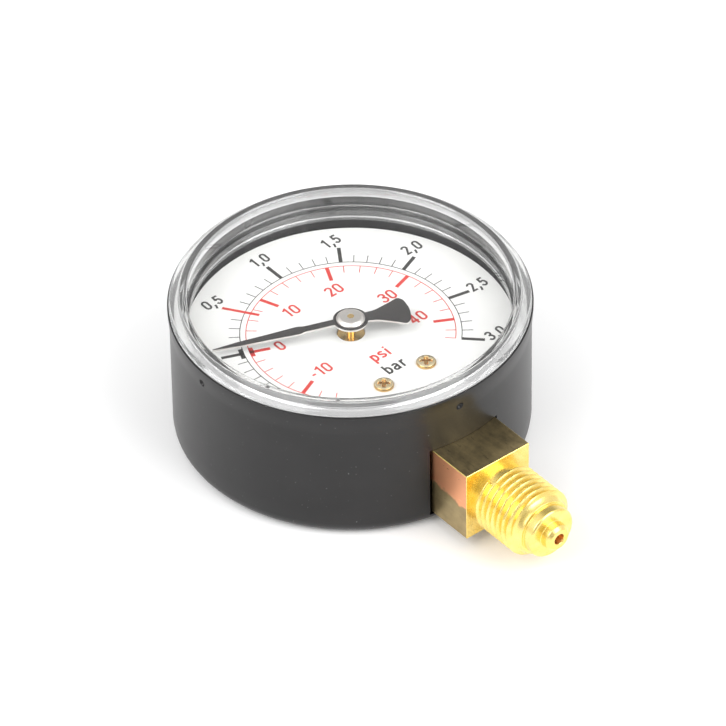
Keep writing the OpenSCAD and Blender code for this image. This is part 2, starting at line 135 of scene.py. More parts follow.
def join_rows(bm, low, high, skipped=()):
    """Faces between two rings of vertices, either of which may be one point."""
    faces = []
    count = max(len(low), len(high))
    for k in range(count):
        if k in skipped:
            continue
        n = (k + 1) % count
        corners = [low[k % len(low)], low[n % len(low)], high[n % len(high)], high[k % len(high)]]
        unique = list(dict.fromkeys(corners))
        if len(unique) > 2:
            faces.append(bm.faces.new(unique))
    return faces


def lathe_into(bm, profile, centre=(0.0, 0.0), segments=192):
    """Adds a closed solid of revolution about Z to a bmesh."""
    rows = []
    for radius, height in profile:
        if radius < 1e-6:
            rows.append([bm.verts.new((centre[0], centre[1], height))])
            continue
        row = []
        for k in range(segments):
            x, y = polar(radius, 360 * k / segments)
            row.append(bm.verts.new((centre[0] + x, centre[1] + y, height)))
        rows.append(row)
    pairs = list(zip(rows, rows[1:]))
    if len(rows[0]) > 1 and len(rows[-1]) > 1:
        pairs.append((rows[-1], rows[0]))
    faces = []
    for low, high in pairs:
        faces += join_rows(bm, low, high)
    return faces


def extrude_outline(bm, outline, low, high):
    """Adds a prism with the given outline."""
    bottom = []
    top = []
    for x, y in outline:
        bottom.append(bm.verts.new((x, y, low)))
        top.append(bm.verts.new((x, y, high)))
    faces = [bm.faces.new(top), bm.faces.new(list(reversed(bottom)))]
    faces += join_rows(bm, bottom, top)
    return faces


def ribbon(points, width, closed=False):
    """The outline of a line of even width with mitred corners."""
    left = []
    right = []
    count = len(points)
    for i, point in enumerate(points):
        here = Vector(point)
        before = here - Vector(points[i - 1]) if closed or i > 0 else None
        after = Vector(points[(i + 1) % count]) - here if closed or i < count - 1 else None
        along = ((before or after).normalized() + (after or before).normalized()).normalized()
        side = Vector((-along.y, along.x))
        straight = (after or before).normalized()
        reach = width / 2 / max(0.45, abs(side.dot(Vector((-straight.y, straight.x)))))
        left.append(here + side * reach)
        right.append(here - side * reach)
    return left, right


def stroke(bm, points, width, low, high, closed=False):
    """Adds a flat raised line along a polyline."""
    left, right = ribbon(points, width, closed)
    rows = []
    for a, b in zip(left, right):
        corners = ((a.x, a.y, low), (a.x, a.y, high), (b.x, b.y, high), (b.x, b.y, low))
        rows.append([bm.verts.new(corner) for corner in corners])
    for one, two in zip(rows, rows[1:]):
        join_rows(bm, one, two)
    if closed:
        join_rows(bm, rows[-1], rows[0])
    else:
        bm.faces.new(rows[0])
        bm.faces.new(rows[-1])


def finish_piece(name, bm, materials, body, sharp=35.0):
    """Turns a bmesh in millimetres into a piece that rides on a body, if one is given."""
    bmesh.ops.recalc_face_normals(bm, faces=bm.faces)
    for vertex in bm.verts:
        vertex.co *= MM
    mesh = bpy.data.meshes.new(name)
    bm.to_mesh(mesh)
    bm.free()
    for material in materials:
        mesh.materials.append(material)
    mesh.shade_smooth()
    mesh.set_sharp_from_angle(angle=math.radians(sharp))
    piece = bpy.data.objects.new(name, mesh)
    bpy.context.scene.collection.objects.link(piece)
    if body:
        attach(piece, body)
    return piece


# -------------------------------------------------------------- materials

def principled(name):
    material = bpy.data.materials.new(name)
    material.use_nodes = True
    nodes = material.node_tree.nodes
    links = material.node_tree.links
    return material, nodes, links, nodes["Principled BSDF"]


def texture_space(nodes, links, scale=(1, 1, 1)):
    """Object coordinates in millimetres times a scale."""
    coords = nodes.new("ShaderNodeTexCoord")
    mapping = nodes.new("ShaderNodeMapping")
    mapping.inputs["Scale"].default_value = tuple(s / MM for s in scale)
    links.new(coords.outputs["Object"], mapping.inputs["Vector"])
    return mapping.outputs["Vector"]


def noise(nodes, links, vector, scale, detail=4.0, rough=0.55):
    texture = nodes.new("ShaderNodeTexNoise")
    texture.inputs["Scale"].default_value = scale
    texture.inputs["Detail"].default_value = detail
    texture.inputs["Roughness"].default_value = rough
    links.new(vector, texture.inputs["Vector"])
    return texture.outputs["Fac"]


def ramp(nodes, links, source, stops):
    """A colour ramp; stops are (position, colour)."""
    node = nodes.new("ShaderNodeValToRGB")
    elements = node.color_ramp.elements
    while len(elements) < len(stops):
        elements.new(0.5)
    for element, (position, colour) in zip(elements, stops):
        element.position = position
        element.color = (*colour, 1.0)
    links.new(source, node.inputs["Fac"])
    return node.outputs["Color"]


def spread(nodes, links, source, low, high, start=0.0, end=1.0):
    """Maps a value from start..end to low..high, clamped."""
    node = nodes.new("ShaderNodeMapRange")
    node.inputs["From Min"].default_value = start
    node.inputs["From Max"].default_value = end
    node.inputs["To Min"].default_value = low
    node.inputs["To Max"].default_value = high
    links.new(source, node.inputs["Value"])
    return node.outputs["Result"]


def mix_colour(nodes, links, factor, first, second):
    """Mixes two colours; each is a socket or a plain colour."""
    node = nodes.new("ShaderNodeMix")
    node.data_type = "RGBA"
    links.new(factor, node.inputs["Factor"])
    for socket, value in ((node.inputs[6], first), (node.inputs[7], second)):
        if isinstance(value, tuple):
            socket.default_value = (*value, 1.0)
        else:
            links.new(value, socket)
    return node.outputs[2]


def bump(nodes, links, shader, height, strength, distance_mm):
    node = nodes.new("ShaderNodeBump")
    node.inputs["Strength"].default_value = strength
    node.inputs["Distance"].default_value = distance_mm * MM
    links.new(height, node.inputs["Height"])
    links.new(node.outputs["Normal"], shader.inputs["Normal"])


def painted(name, dark, light, rough, grain, bump_strength, gloss=0.5, dust=0.0):
    """Paint or print with slight colour, gloss and surface variation."""
    material, nodes, links, shader = principled(name)
    shader.inputs["Specular IOR Level"].default_value = gloss
    space = texture_space(nodes, links)
    cloud = noise(nodes, links, space, 0.12, 3.0)
    colour = ramp(nodes, links, cloud, [(0.3, dark), (0.7, light)])
    if dust:
        grains = noise(nodes, links, space, 2.3, 1.0)
        amount = spread(nodes, links, grains, 0.0, dust, 0.76, 0.82)
        colour = mix_colour(nodes, links, amount, colour, (0.5, 0.5, 0.5))
    links.new(colour, shader.inputs["Base Color"])
    fine = noise(nodes, links, space, grain, 5.0)
    links.new(spread(nodes, links, fine, rough - 0.05, rough + 0.05), shader.inputs["Roughness"])
    bump(nodes, links, shader, fine, bump_strength, 0.05)
    return material


def turned_metal(name, dark, light, rough, grain=(1, 1, 1), bump_strength=0.12):
    """Bare metal with fine machining marks and slight tarnish."""
    material, nodes, links, shader = principled(name)
    shader.inputs["Metallic"].default_value = 1.0
    space = texture_space(nodes, links, grain)
    cloud = noise(nodes, links, space, 0.35, 4.0)
    links.new(ramp(nodes, links, cloud, [(0.3, dark), (0.7, light)]), shader.inputs["Base Color"])
    fine = noise(nodes, links, space, 6.0, 3.0)
    links.new(spread(nodes, links, fine, rough - 0.06, rough + 0.06), shader.inputs["Roughness"])
    bump(nodes, links, shader, fine, bump_strength, 0.02)
    return material


def drawn_brass(name, dark, light, copper, half_height):
    """Tarnished drawn bar with marks along Y; its upper half may be copper red."""
    material, nodes, links, shader = principled(name)
    shader.inputs["Metallic"].default_value = 1.0
    space = texture_space(nodes, links)
    streaks = texture_space(nodes, links, (1.0, 0.12, 1.0))
    cloud = noise(nodes, links, space, 0.3, 5.0, 0.6)
    lines = noise(nodes, links, streaks, 3.0, 4.0)
    blend = nodes.new("ShaderNodeMath")
    blend.operation = "MULTIPLY_ADD"
    blend.inputs[1].default_value = 0.2
    links.new(lines, blend.inputs[0])
    links.new(spread(nodes, links, cloud, -0.1, 0.8), blend.inputs[2])
    colour = ramp(nodes, links, blend.outputs[0], [(0.3, dark), (0.68, light)])
    if copper:
        split = nodes.new("ShaderNodeSeparateXYZ")
        links.new(space, split.inputs[0])
        wobble = nodes.new("ShaderNodeMath")
        wobble.operation = "MULTIPLY_ADD"
        wobble.inputs[1].default_value = 5.0
        links.new(noise(nodes, links, space, 0.22, 3.0), wobble.inputs[0])
        links.new(split.outputs[2], wobble.inputs[2])
        edge = half_height + 2.5
        mask = spread(nodes, links, wobble.outputs[0], 0.0, 1.0, edge - 0.25, edge + 0.25)
        colour = mix_colour(nodes, links, mask, colour, copper)
    links.new(colour, shader.inputs["Base Color"])
    links.new(spread(nodes, links, lines, 0.22, 0.4), shader.inputs["Roughness"])
    bump(nodes, links, shader, lines, 0.12, 0.02)
    return material


def clear_plastic(name, clearness, haze, ior=1.49):
    """Clear moulded plastic that lets the lamps through to what is behind it."""
    material, nodes, links, shader = principled(name)
    shader.inputs["Transmission Weight"].default_value = clearness
    shader.inputs["IOR"].default_value = ior
    space = texture_space(nodes, links)
    cloud = noise(nodes, links, space, 0.5, 2.0)
    tint = [(0.2, (0.97, 0.975, 0.975)), (0.8, (0.99, 0.99, 0.99))]
    links.new(ramp(nodes, links, cloud, tint), shader.inputs["Base Color"])
    links.new(spread(nodes, links, cloud, haze, haze + 0.02), shader.inputs["Roughness"])
    clear = nodes.new("ShaderNodeBsdfTransparent")
    clear.inputs["Color"].default_value = (0.95, 0.95, 0.95, 1)
    path = nodes.new("ShaderNodeLightPath")
    mix = nodes.new("ShaderNodeMixShader")
    links.new(path.outputs["Is Shadow Ray"], mix.inputs["Fac"])
    links.new(shader.outputs["BSDF"], mix.inputs[1])
    links.new(clear.outputs["BSDF"], mix.inputs[2])
    links.new(mix.outputs["Shader"], nodes["Material Output"].inputs["Surface"])
    return material


CASE_PAINT = painted(
    "case_paint", (0.008, 0.0075, 0.0078), (0.012, 0.0112, 0.0116), 0.32, 9.0, 0.06,
    gloss=0.4, dust=0.25)
DIAL_WHITE = painted("dial_white", (0.86, 0.86, 0.84), (0.89, 0.89, 0.87), 0.35, 4.0, 0.02)
INK_BLACK = painted("dial_black_ink", (0.030, 0.028, 0.026), (0.040, 0.038, 0.036), 0.45, 8.0, 0.03)
INK_RED = painted("dial_red_ink", (0.62, 0.034, 0.026), (0.68, 0.042, 0.032), 0.45, 8.0, 0.03)
POINTER_BLACK = painted(
    "pointer_black", (0.034, 0.031, 0.030), (0.044, 0.041, 0.040), 0.42, 10.0, 0.05, gloss=0.35)
POINTER_EDGE = turned_metal("pointer_edge", (0.66, 0.64, 0.62), (0.80, 0.78, 0.76), 0.3)
BRASS = turned_metal("brass_bright", (0.80, 0.55, 0.22), (0.90, 0.66, 0.30), 0.24)
SCREW_FACE = turned_metal("screw_brass_polished", (0.92, 0.74, 0.44), (0.98, 0.86, 0.60), 0.16)
# Darker brass for the screws' cross recess and the heads' sides: painted shade.
SCREW_SHADE = turned_metal("screw_brass", (0.60, 0.36, 0.12), (0.74, 0.48, 0.18), 0.2)
BRONZE = turned_metal("bronze", (0.62, 0.38, 0.18), (0.74, 0.50, 0.26), 0.3)
STEEL = turned_metal("plated_steel", (0.62, 0.62, 0.64), (0.74, 0.74, 0.76), 0.25)
BRIGHT = turned_metal("bright_metal", (0.84, 0.80, 0.76), (0.92, 0.88, 0.84), 0.33)
PANE = clear_plastic("clear_plastic", 1.0, 0.0)
CLEAR_EDGE = clear_plastic("clear_plastic_edge", 0.97, 0.02)
FROSTED_EDGE = clear_plastic("clear_plastic_frosted", 0.88, 0.1)
STEM_TURNED = turned_metal("stem_brass", (0.93, 0.68, 0.18), (0.99, 0.80, 0.30), 0.27)
STEM_BAR = drawn_brass("stem_bar", (0.34, 0.27, 0.15), (0.72, 0.56, 0.28), None, 0)
# The bar's left face gets a darker copy of the bar's brass, painted shade; the upper half of that face
# turns copper red.
STEM_LEFT_SHADE = drawn_brass(
    "stem_bar_left_shade", (0.34, 0.26, 0.13), (0.50, 0.39, 0.20), (1.0, 0.46, 0.24), STEM_Z)
# Darker orange brass for the inside of the stem's bore: painted shade.
BORE = turned_metal("stem_bore", (0.50, 0.22, 0.07), (0.66, 0.33, 0.12), 0.3)

NODE_MATERIALS = {
    "case": CASE_PAINT,
    "window": PANE,
    "dial": DIAL_WHITE,
    "dial_screws": BRASS,
    "stem": STEM_TURNED,
    "case_screws": STEEL,
    "bourdon_tube": BRONZE,
    "tube_end": BRASS,
    "tube_end_pin": STEEL,
    "link": STEEL,
    "link_pin": STEEL,
    "movement_back_plate": BRASS,
    "movement_front_plate": BRASS,
    "movement_pillars": BRASS,
    "plate_screws": STEEL,
    "movement_screws": STEEL,
    "sector_gear": BRASS,
    "sector_arbor": STEEL,
    "pinion_shaft": BRASS,
    "pinion_bushing": BRASS,
    "hairspring": BRONZE,
    "hairspring_collet": BRASS,
    "hairspring_stud": BRASS,
    "pointer_blade": POINTER_BLACK,
    "pointer_hub": BRIGHT,
}

for node_name, node_material in NODE_MATERIALS.items():
    cad_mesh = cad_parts[node_name].data
    cad_mesh.materials.clear()
    cad_mesh.materials.append(node_material)


# ------------------------------------------------------------------- case

CASE_WALL = 0.8
CORNER_R = 2.8
DENT_Z = 24.15
DENT_FIRST = -2.8
DENTS = 4
# Radius of a dent's sphere and how far its centre is from the wall, outside and inside
DENT_OUT = (0.7, 0.1)
DENT_IN = (1.1, 0.5)
LIP_LOW = 26.5
SEAT_X = 4.0
SEAT_Y = -17.0
HOLE_HALF = STEM_HALF + 0.5
HOLE_TOP = STEM_Z + STEM_HALF + 0.06


def dent_depth(angle, height, reach, offset):
    """How far the wall is pushed in by the nearest snap dent."""
    nearest = (angle - DENT_FIRST + 45) % (360 / DENTS) - 45
    across = math.radians(nearest) * CASE_R
    away = across ** 2 + (height - DENT_Z) ** 2
    if away >= reach ** 2:
        return 0.0
    return max(0.0, math.sqrt(reach ** 2 - away) - offset)


def wall_heights():
    """Heights at which the case wall has a ring of vertices."""
    heights = [STEM_Z - HOLE_HALF, CORNER_R, 6.0, 10.0, 14.0, HOLE_TOP, 19.0, 21.5, 22.9]
    steps = 20
    heights += [DENT_Z - 1.2 + 2.4 * i / steps for i in range(steps + 1)]
    return heights


def flare(height):
    """How far the wall leans out below the rim."""
    return (RIM_R - CASE_R) * smoothstep((height - (RIM_Z - 4.6)) / 4.2)


def case_rows():
    """Outer and inner (radius, height, kind) rows from the back's centre round to its inside."""
    outer = [(0.0, 0.0, "plain"), (9.0, 0.0, "plain"), (21.0, 0.0, "plain")]
    inner = [(0.0, CASE_WALL, "plain"), (9.0, CASE_WALL, "plain"), (21.0, CASE_WALL, "plain")]
    bend = CASE_R - CORNER_R
    hole_low = STEM_Z - HOLE_HALF
    for rows, radius, kind in ((outer, CORNER_R, "outer"), (inner, CORNER_R - CASE_WALL, "inner")):
        last = math.degrees(math.acos((CORNER_R - hole_low) / radius))
        steps = 9
        for i in range(steps):
            angle = math.radians(last * i / steps)
            rows.append((bend + radius * math.sin(angle), CORNER_R - radius * math.cos(angle), "plain"))
        for height in wall_heights():
            drop = max(0.0, CORNER_R - height)
            reach = bend + math.sqrt(radius ** 2 - drop ** 2)
            rows.append((reach + flare(height), height, kind))
    for height in (25.6, 25.9, 26.2, LIP_LOW):
        outer.append((CASE_R + flare(height), height, "plain"))
        inner.append((CASE_R - CASE_WALL + flare(height), height, "plain"))
    rim_in = RIM_R - CASE_WALL
    top = rounded([(RIM_R, LIP_LOW), (RIM_R, RIM_Z), (rim_in, RIM_Z), (rim_in, LIP_LOW)], 0.22, 4)
    return outer, [(r, z, "plain") for r, z in top[1:-1]], inner


def case_columns():
    """Directions of the vertex columns, with the hole's sides among them."""
    edge = math.degrees(math.asin(HOLE_HALF / CASE_R))
    fixed = [270 - edge, 270 + edge]
    columns = []
    for k in range(DENTS):
        centre = (DENT_FIRST + 360 * k / DENTS) % 360
        columns += [centre + 0.22 * i for i in range(-10, 11)]
    for k in range(240):
        angle = 1.5 * k
        near = [abs((angle - other + 180) % 360 - 180) for other in columns + fixed]
        if min(near) > 0.7:
            columns.append(angle)
    return sorted([angle % 360 for angle in columns] + fixed), fixed


def make_case():
    outer, top, inner = case_rows()
    columns, fixed = case_columns()
    bm = bmesh.new()
    rings = []
    rows = outer + top + list(reversed(inner))
    for radius, height, kind in rows:
        if radius < 1e-6:
            rings.append([bm.verts.new((0, 0, height))])
            continue
        ring = []
        for angle in columns:
            reach = radius
            turn = angle
            if kind == "outer":
                reach -= dent_depth(angle, height, *DENT_OUT)
            if kind == "inner":
                reach -= dent_depth(angle, height, *DENT_IN)
            if angle in fixed and kind != "plain":
                side = math.degrees(math.asin(HOLE_HALF / radius))
                turn = 270 + math.copysign(side, angle - 270)
            x, y = polar(reach, turn)
            ring.append(bm.verts.new((x, y, height)))
        rings.append(ring)
    first, last = (columns.index(angle) for angle in fixed)
    hole = [i for i, row in enumerate(rows) if row[2] != "plain" and row[1] <= HOLE_TOP + 1e-6]
    out_hole = [i for i in hole if i < len(outer)]
    in_hole = [i for i in hole if i >= len(outer)]
    for i in range(len(rings) - 1):
        low, high = rings[i], rings[i + 1]
        open_here = (i in out_hole and i + 1 in out_hole) or (i in in_hole and i + 1 in in_hole)
        skipped = range(first, last) if open_here else ()
        join_rows(bm, low, high, skipped)
    for a, b in ((out_hole[0], in_hole[-1]), (out_hole[-1], in_hole[0])):
        for k in range(first, last):
            bm.faces.new([rings[a][k], rings[a][k + 1], rings[b][k + 1], rings[b][k]])
    for step in range(len(out_hole) - 1):
        a, b = out_hole[step], out_hole[step + 1]
        c, d = in_hole[-1 - step], in_hole[-2 - step]
        for k in (first, last):
            bm.faces.new([rings[a][k], rings[b][k], rings[d][k], rings[c][k]])
    case = finish_piece("case_shell", bm, [CASE_PAINT], HOUSING, 32)
    dish_back(case)
    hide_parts("case")


def tool_solid(profile, centre):
    """A solid of revolution that only cuts or adds to another mesh."""
    bm = bmesh.new()
    lathe_into(bm, profile, centre, 64)
    bmesh.ops.recalc_face_normals(bm, faces=bm.faces)
    for vertex in bm.verts:
        vertex.co *= MM
    mesh = bpy.data.meshes.new("tool")
    bm.to_mesh(mesh)
    bm.free()
    tool = bpy.data.objects.new("tool", mesh)
    bpy.context.scene.collection.objects.link(tool)
    return tool


def apply_modifiers(piece, sharp):
    """Keeps the mesh that the modifiers make and drops the modifiers."""
    bpy.context.view_layer.update()
    evaluated = piece.evaluated_get(bpy.context.evaluated_depsgraph_get())
    mesh = bpy.data.meshes.new_from_object(evaluated)
    piece.modifiers.clear()
    old = piece.data
    piece.data = mesh
    bpy.data.meshes.remove(old)
    mesh.shade_smooth()
    mesh.set_sharp_from_angle(angle=math.radians(sharp))


def dish_back(case):
    """Presses the two dished screw seats into the back."""
    tools = []
    for side in (-1, 1):
        centre = (SEAT_X * side, SEAT_Y)
        cup = [(0, 0.3), (3.2, 0.3), (3.2, 2.2), (2.9, 2.5), (0, 2.5)]
        dish = [
            (0, -1), (3.1, -1), (3.1, 0), (2.8, 0.3), (2.8, 1.4),
            (2.5, 1.7), (1.5, 1.7), (1.5, 3), (0, 3),
        ]
        tools.append(("UNION", tool_solid(cup, centre)))
        tools.append(("DIFFERENCE", tool_solid(dish, centre)))
    for operation, tool in tools:
        modifier = case.modifiers.new("seat", "BOOLEAN")
        modifier.operation = operation
        modifier.solver = "EXACT"
        modifier.object = tool
    apply_modifiers(case, 32)
    for _, tool in tools:
        bpy.data.objects.remove(tool)


# ----------------------------------------------------------------- window

PANE_TOP = 25.3
PANE_LOW = 23.3
RING_R = 29.7
RING_INNER_R = 28.4
SKIRT_R = 30.6
SKIRT_INNER_R = 28.2
BEAD_TOP = 23.05
NECK_R = 29.0
AIR_GAP = 0.03


def make_window():
    outer = [
        (SKIRT_R - 0.3, WINDOW_LOW),
        (SKIRT_R, WINDOW_LOW + 0.5),
        (SKIRT_R, BEAD_TOP),
        (NECK_R, BEAD_TOP + 0.4),
        (NECK_R, RIM_Z + AIR_GAP),
        (FLANGE_R, RIM_Z + AIR_GAP),
        (FLANGE_R, RIM_Z + 0.35),
        (FLANGE_R - 0.35, RIM_Z + 0.75),
        (RING_R + 0.25, WINDOW_TOP - 0.3),
        (RING_R, WINDOW_TOP),
        (RING_INNER_R + 0.3, WINDOW_TOP),
        (RING_INNER_R, WINDOW_TOP - 0.4),
        (RING_INNER_R, PANE_TOP),
        (0, PANE_TOP),
    ]
    inner = [(SKIRT_INNER_R, WINDOW_LOW), (SKIRT_INNER_R, PANE_LOW), (0, PANE_LOW)]
    profile = rounded(list(reversed(inner)) + outer, 0.18, 4)
    bm = bmesh.new()
    faces = lathe_into(bm, profile, segments=256)
    for face in faces:
        centre = face.calc_center_median()
        away = math.hypot(centre.x, centre.y)
        if away < RING_INNER_R - 0.3:
            face.material_index = 0
        elif away > RING_R and centre.z > RIM_Z + 0.05:
            face.material_index = 2
        else:
            face.material_index = 1
    materials = [PANE, CLEAR_EDGE, FROSTED_EDGE]
    window = finish_piece("window_moulding", bm, materials, HOUSING, 40)
    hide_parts("window")


# ------------------------------------------------------------- dial print

PRINT_H = 0.03
SCALE_R = 19.39
PSI_R = 0.945 * SCALE_R
FULL_SCALE = 3.0
VACUUM = -1.0
DEG_PER_BAR = 67.5
PSI_PER_BAR = 14.5038
THIN = 0.15
THICK = 0.68

# Round part of the letters b and p
BOWL = arc((0.26, 0.36), (0.17, 0.30), 145, -145, 14)

# Width of each sign on a cap height of 1, and its strokes: (points, closed)
SIGNS = {
    "0": (0.50, [(
        arc((0.25, 0.72), (0.175, 0.205), 0, 180, 12) + arc((0.25, 0.28), (0.175, 0.205), 180, 360, 12),
        True)]),
    "1": (0.40, [([(0.26, 1.0), (0.26, 0.0)], False), ([(0.21, 0.87), (0.05, 0.76)], False)]),
    "2": (0.50, [(
        arc((0.25, 0.735), (0.175, 0.19), 170, -25, 14) + [(0.115, 0.075), (0.45, 0.075)], False)]),
    "3": (0.50, [
        (arc((0.24, 0.735), (0.17, 0.19), 165, -90, 14) + [(0.19, 0.545)], False),
        (arc((0.24, 0.31), (0.185, 0.235), 80, -165, 14), False),
    ]),
    "4": (0.52, [
        ([(0.30, 0.97), (0.085, 0.30), (0.48, 0.30)], False),
        ([(0.35, 1.0), (0.35, 0.0)], False),
    ]),
    "5": (0.50, [
        ([(0.43, 0.925), (0.135, 0.925), (0.11, 0.50)], False),
        (arc((0.245, 0.335), (0.18, 0.26), 140, -160, 14), False),
    ]),
    ",": (0.26, [([(0.15, 0.16), (0.14, 0.0), (0.04, -0.24)], False)]),
    "-": (0.34, [([(0.04, 0.40), (0.28, 0.40)], False)]),
    "p": (0.52, [([(0.12, 0.74), (0.12, -0.27)], False), (BOWL, False)]),
    "s": (0.46, [(
        arc((0.22, 0.535), (0.15, 0.135), 25, 215, 8) + arc((0.22, 0.205), (0.16, 0.145), 35, -155, 8),
        False)]),
    "i": (0.24, [([(0.12, 0.74), (0.12, 0.0)], False), ([(0.12, 1.0), (0.12, 0.86)], False)]),
    "b": (0.52, [([(0.12, 1.0), (0.12, 0.0)], False), (BOWL, False)]),
    "a": (0.50, [
        (arc((0.23, 0.53), (0.15, 0.14), 160, 0, 9) + [(0.38, 0.0)], False),
        ([(0.38, 0.42)] + arc((0.215, 0.225), (0.145, 0.165), 95, 280, 10) + [(0.38, 0.17)], False),
    ]),
    "r": (0.36, [
        ([(0.12, 0.74), (0.12, 0.0)], False),
        (arc((0.30, 0.44), (0.18, 0.24), 160, 80, 6), False),
    ]),
}
SIGN_GAP = 0.07


def scale_angle(bar):
    return 90 + (1 - bar) * DEG_PER_BAR


def radial_bar(bm, angle, start, end, width):
    stroke(bm, [polar(start, angle), polar(end, angle)], width, DIAL_Z, DIAL_Z + PRINT_H)


def arc_line(bm, radius, start, end, width, high):
    points = [polar(radius, start + (end - start) * i / 180) for i in range(181)]
    stroke(bm, points, width, DIAL_Z, DIAL_Z + high)


def label(bm, text, centre, height, weight, widen=1.0):
    """Writes upright signs centred on a point of the dial."""
    advance = [(SIGNS[sign][0] + SIGN_GAP) * height * widen for sign in text]
    left = centre[0] - (sum(advance) - SIGN_GAP * height * widen) / 2
    low = centre[1] - height / 2
    for sign, step in zip(text, advance):
        for k, (points, closed) in enumerate(SIGNS[sign][1]):
            placed = [(left + x * height * widen, low + y * height) for x, y in points]
            stroke(bm, placed, weight * height, DIAL_Z, DIAL_Z + PRINT_H + 0.002 * (k + 1), closed)
        left += step


def make_print():
    black = bmesh.new()
    red = bmesh.new()
    start = scale_angle(VACUUM)
    end = scale_angle(FULL_SCALE)
    arc_line(black, SCALE_R, start, end, THIN, PRINT_H - 0.002)
    arc_line(red, PSI_R, start, end, THIN, PRINT_H - 0.002)
    for tenth in range(-10, 31):
        bar = tenth / 10
        if tenth == 5:
            radial_bar(red, scale_angle(bar), 0.865 * SCALE_R, 1.218 * SCALE_R, 0.6)
        elif tenth % 5 == 0:
            radial_bar(black, scale_angle(bar), SCALE_R, 1.21 * SCALE_R, THICK)
        else:
            radial_bar(black, scale_angle(bar), SCALE_R, 1.10 * SCALE_R, THIN)
    for psi in range(-14, 44, 2):
        angle = scale_angle(psi / PSI_PER_BAR)
        if psi % 10 == 0:
            radial_bar(red, angle, PSI_R, 0.755 * SCALE_R, THICK)
        else:
            radial_bar(red, angle, PSI_R, 0.85 * SCALE_R, THIN)
    radial_bar(red, end, PSI_R, 0.85 * SCALE_R, THIN)
    zero = scale_angle(0)
    radial_bar(black, zero, SCALE_R, SCALE_R + 0.75, 2.6)
    radial_bar(red, zero, PSI_R, PSI_R - 0.75, 2.4)
    bar_labels = [
        ("-1,0", (-18.2, -18.2)), ("-0,5", (-25.4, -4.4)), ("0", (-24.4, 10.1)),
        ("0,5", (-13.57, 21.91)), ("1,0", (0.15, 25.79)), ("1,5", (13.09, 21.81)),
        ("2,0", (22.93, 11.29)), ("2,5", (25.26, -4.02)), ("3,0", (19.15, -16.34)),
    ]
    for text, centre in bar_labels:
        label(black, text, centre, 2.45, 0.155, 1.1)
    psi_labels = [
        ("-10", (-10.5, -4.62)), ("0", (-11.78, 5.1)), ("10", (-4.31, 11.27)),
        ("20", (5.01, 10.93)), ("30", (11.1, 3.58)), ("40", (11.49, -4.3)),
    ]
    for text, centre in psi_labels:
        label(red, text, centre, 2.6, 0.15, 1.18)
    label(red, "psi", (0.0, -7.8), 2.5, 0.16, 1.18)
    label(black, "bar", (0.0, -11.9), 2.5, 0.16, 1.18)
    finish_piece("dial_print_black", black, [INK_BLACK], HOUSING, 30)
    finish_piece("dial_print_red", red, [INK_RED], HOUSING, 30)


# ------------------------------------------------------------ dial screws

SCREW_R = 1.75
SCREW_H = 0.85
SCREW_RECESS = 0.6


def screw_centre(side):
    """Centre of the left or right dial screw."""
    low, high = node_span("dial_screws", Y)
    return side * (node_span("dial_screws", X)[1] - SCREW_R), (low + high) / 2


def screw_dome(away):
    """Height of a screw's head at a distance from its axis, without the recess."""
    return SCREW_H * (1 - 0.42 * (away / SCREW_R) ** 2)


def make_dial_screws():
    """Domed brass heads with a cross recess."""
    bm = bmesh.new()
    for side in (-1, 1):
        centre = screw_centre(side)
        turn = 51 + side
        rows = [[bm.verts.new((centre[0], centre[1], DIAL_Z + SCREW_H - SCREW_RECESS))]]
        for step in range(1, 19):
            away = SCREW_R * 0.93 * step / 18
            row = []
            for k in range(96):
                angle = 360 * k / 96
                across, along = polar(away, angle - turn)
                narrow = min(abs(across), abs(along))
                reach = max(abs(across), abs(along))
                side_slope = smoothstep((0.42 - narrow) / 0.3)
                end_slope = smoothstep((1.3 - reach) / 0.7)
                x, y = polar(away, angle)
                height = screw_dome(away) - SCREW_RECESS * side_slope * end_slope
                row.append(bm.verts.new((centre[0] + x, centre[1] + y, DIAL_Z + height)))
            rows.append(row)
        for low, high in zip(rows, rows[1:]):
            for face in join_rows(bm, low, high):
                middle = face.calc_center_median()
                away = math.hypot(middle.x - centre[0], middle.y - centre[1])
                recess_edge = DIAL_Z + screw_dome(away) - 0.2 * SCREW_RECESS
                # Faces sunk into the cross recess take the darker brass, painted shade.
                face.material_index = 1 if middle.z < recess_edge else 0
        rim = [(SCREW_R * 0.985, SCREW_H * 0.5), (SCREW_R, SCREW_H * 0.36), (SCREW_R, 0.05),
               (SCREW_R - 0.05, 0.0), (0.95, 0.0), (0.95, -5.0)]
        last = rows[-1]
        for radius, height in rim:
            ring = []
            for k in range(96):
                x, y = polar(radius, 360 * k / 96)
                ring.append(bm.verts.new((centre[0] + x, centre[1] + y, DIAL_Z + height)))
            for face in join_rows(bm, last, ring):
                # The head's side and underside take the darker brass too, painted shade.
                face.material_index = 1
            last = ring
        bm.faces.new(last).material_index = 1
    materials = [SCREW_FACE, SCREW_SHADE]
    screws = finish_piece("dial_screw_pair", bm, materials, HOUSING, 40)
    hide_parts("dial_screws")


# ------------------------------------------------------------------- stem

SQUARE_Y = 39.9
NECK = 1.7
PITCH = 1.337
THREAD_R = 6.5785
ROOT_R = 5.7224
RIDGES = 7
PILOT_R = 4.75
SPIGOT_R = 2.5
BORE_R = 1.0
SPIRAL = 144
BLOCK_Y = -12.4
NOTCH = 125.0


def stem_point(radius, degrees, along):
    """A point at a distance along -Y, round the stem's axis."""
    x, z = polar(radius, degrees)
    return x, -along, STEM_Z + z


def thread_radius(along, turn, start):
    """Radius of a right-hand thread that starts at a notch."""
    lead = along - start - PITCH * ((turn - NOTCH) % 360) / 360
    if lead < 0:
        return ROOT_R
    rise = 1 - abs(2 * (lead / PITCH % 1.0) - 1)
    height = min(1.0, max(0.0, (rise - 0.06) / 0.78))
    return ROOT_R + (THREAD_R - ROOT_R) * height


